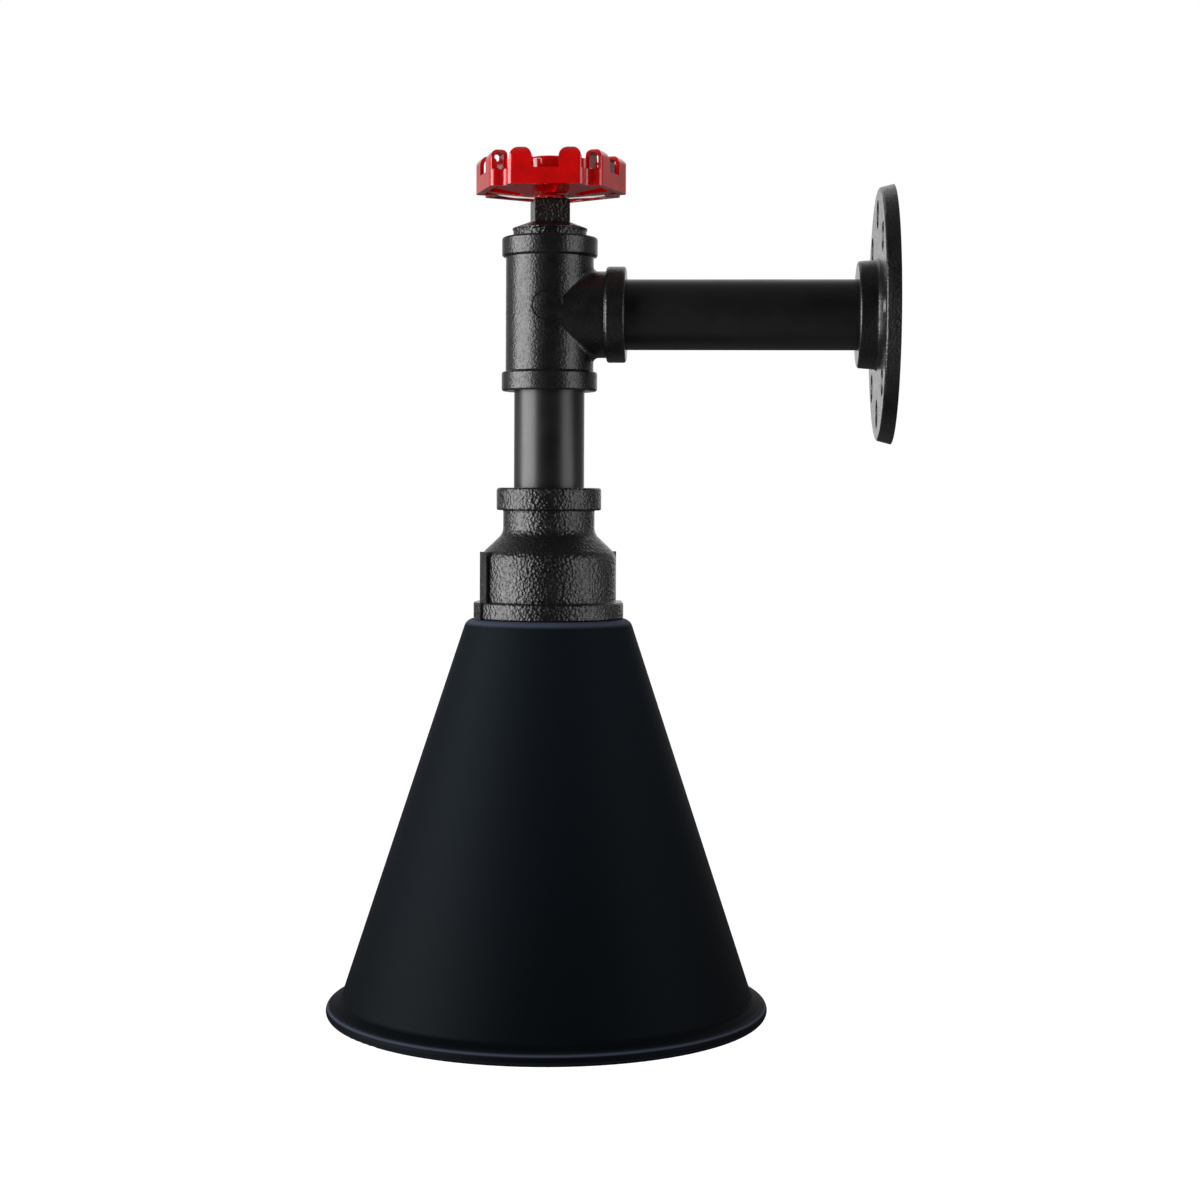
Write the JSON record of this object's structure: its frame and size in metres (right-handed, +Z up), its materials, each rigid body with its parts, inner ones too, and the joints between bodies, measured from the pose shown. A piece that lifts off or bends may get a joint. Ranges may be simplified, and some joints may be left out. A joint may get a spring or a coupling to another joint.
{
  "type": "pipe wall light",
  "caption": "Wall light of threaded pipe fittings: round flange, pipe arm, tee with a turning red handwheel, drop pipe, reducing socket and a spun cone shade over a screw-cap bulb.",
  "frame": {"origin": "centre of the wall flange's back face, on the wall plane and on the arm's axis", "axes": "+X into the wall along the arm, +Z up, the lamp hangs at -X and its front faces -Y"},
  "size_m": [0.2145, 0.169, 0.3285],
  "materials": {
    "black_casting": "satin black paint on a sand-cast skin",
    "black_pipe": "satin",
    "red_enamel": "gloss",
    "black_shade": "matt",
    "plain_steel": "satin",
    "holder_plastic": "matt",
    "white_ceramic": "satin",
    "contact_brass": "satin",
    "lead_brown": "satin",
    "lead_blue": "satin",
    "lead_green": "satin",
    "cap_metal": "satin",
    "cap_insulator": "gloss",
    "bulb_clear": "clear"
  },
  "bodies": {
    "lamp": {"wall_flange": "black_casting", "arm_pipe": "black_pipe", "tee": "black_casting", "top_plug": "black_casting", "wheel_screw": "plain_steel", "wheel_washer": "plain_steel", "drop_pipe": "black_pipe", "reducer_socket": "black_casting", "lampshade": "black_shade", "holder_plate": "plain_steel", "hollow_nipple": "plain_steel", "nipple_washer": "plain_steel", "nipple_locknut": "plain_steel", "lampholder_cap": "holder_plastic", "lampholder_skirt": "holder_plastic", "lampholder_core": "white_ceramic", "shade_ring": "holder_plastic", "screw_shell": "contact_brass", "centre_contact": "contact_brass", "live_terminal": "contact_brass", "neutral_terminal": "contact_brass", "terminal_screws": "plain_steel", "earth_lug": "plain_steel", "earth_screw": "plain_steel", "live_lead": "lead_brown", "neutral_lead": "lead_blue", "earth_lead": "lead_green", "bulb_cap": "cap_metal", "bulb_insulator": "cap_insulator", "bulb_contact": "cap_metal", "bulb_glass": "bulb_clear", "bulb_stem": "bulb_clear", "bulb_filament": "plain_steel"},
    "wheel": {"handwheel": "red_enamel"}
  },
  "joints": [
    {"name": "wheel_turn", "type": "hinge", "parent": "lamp", "child": "wheel", "pos_m": [-0.13, 0, 0.052], "axis": [0, 0, 1], "continuous": true}
  ]
}
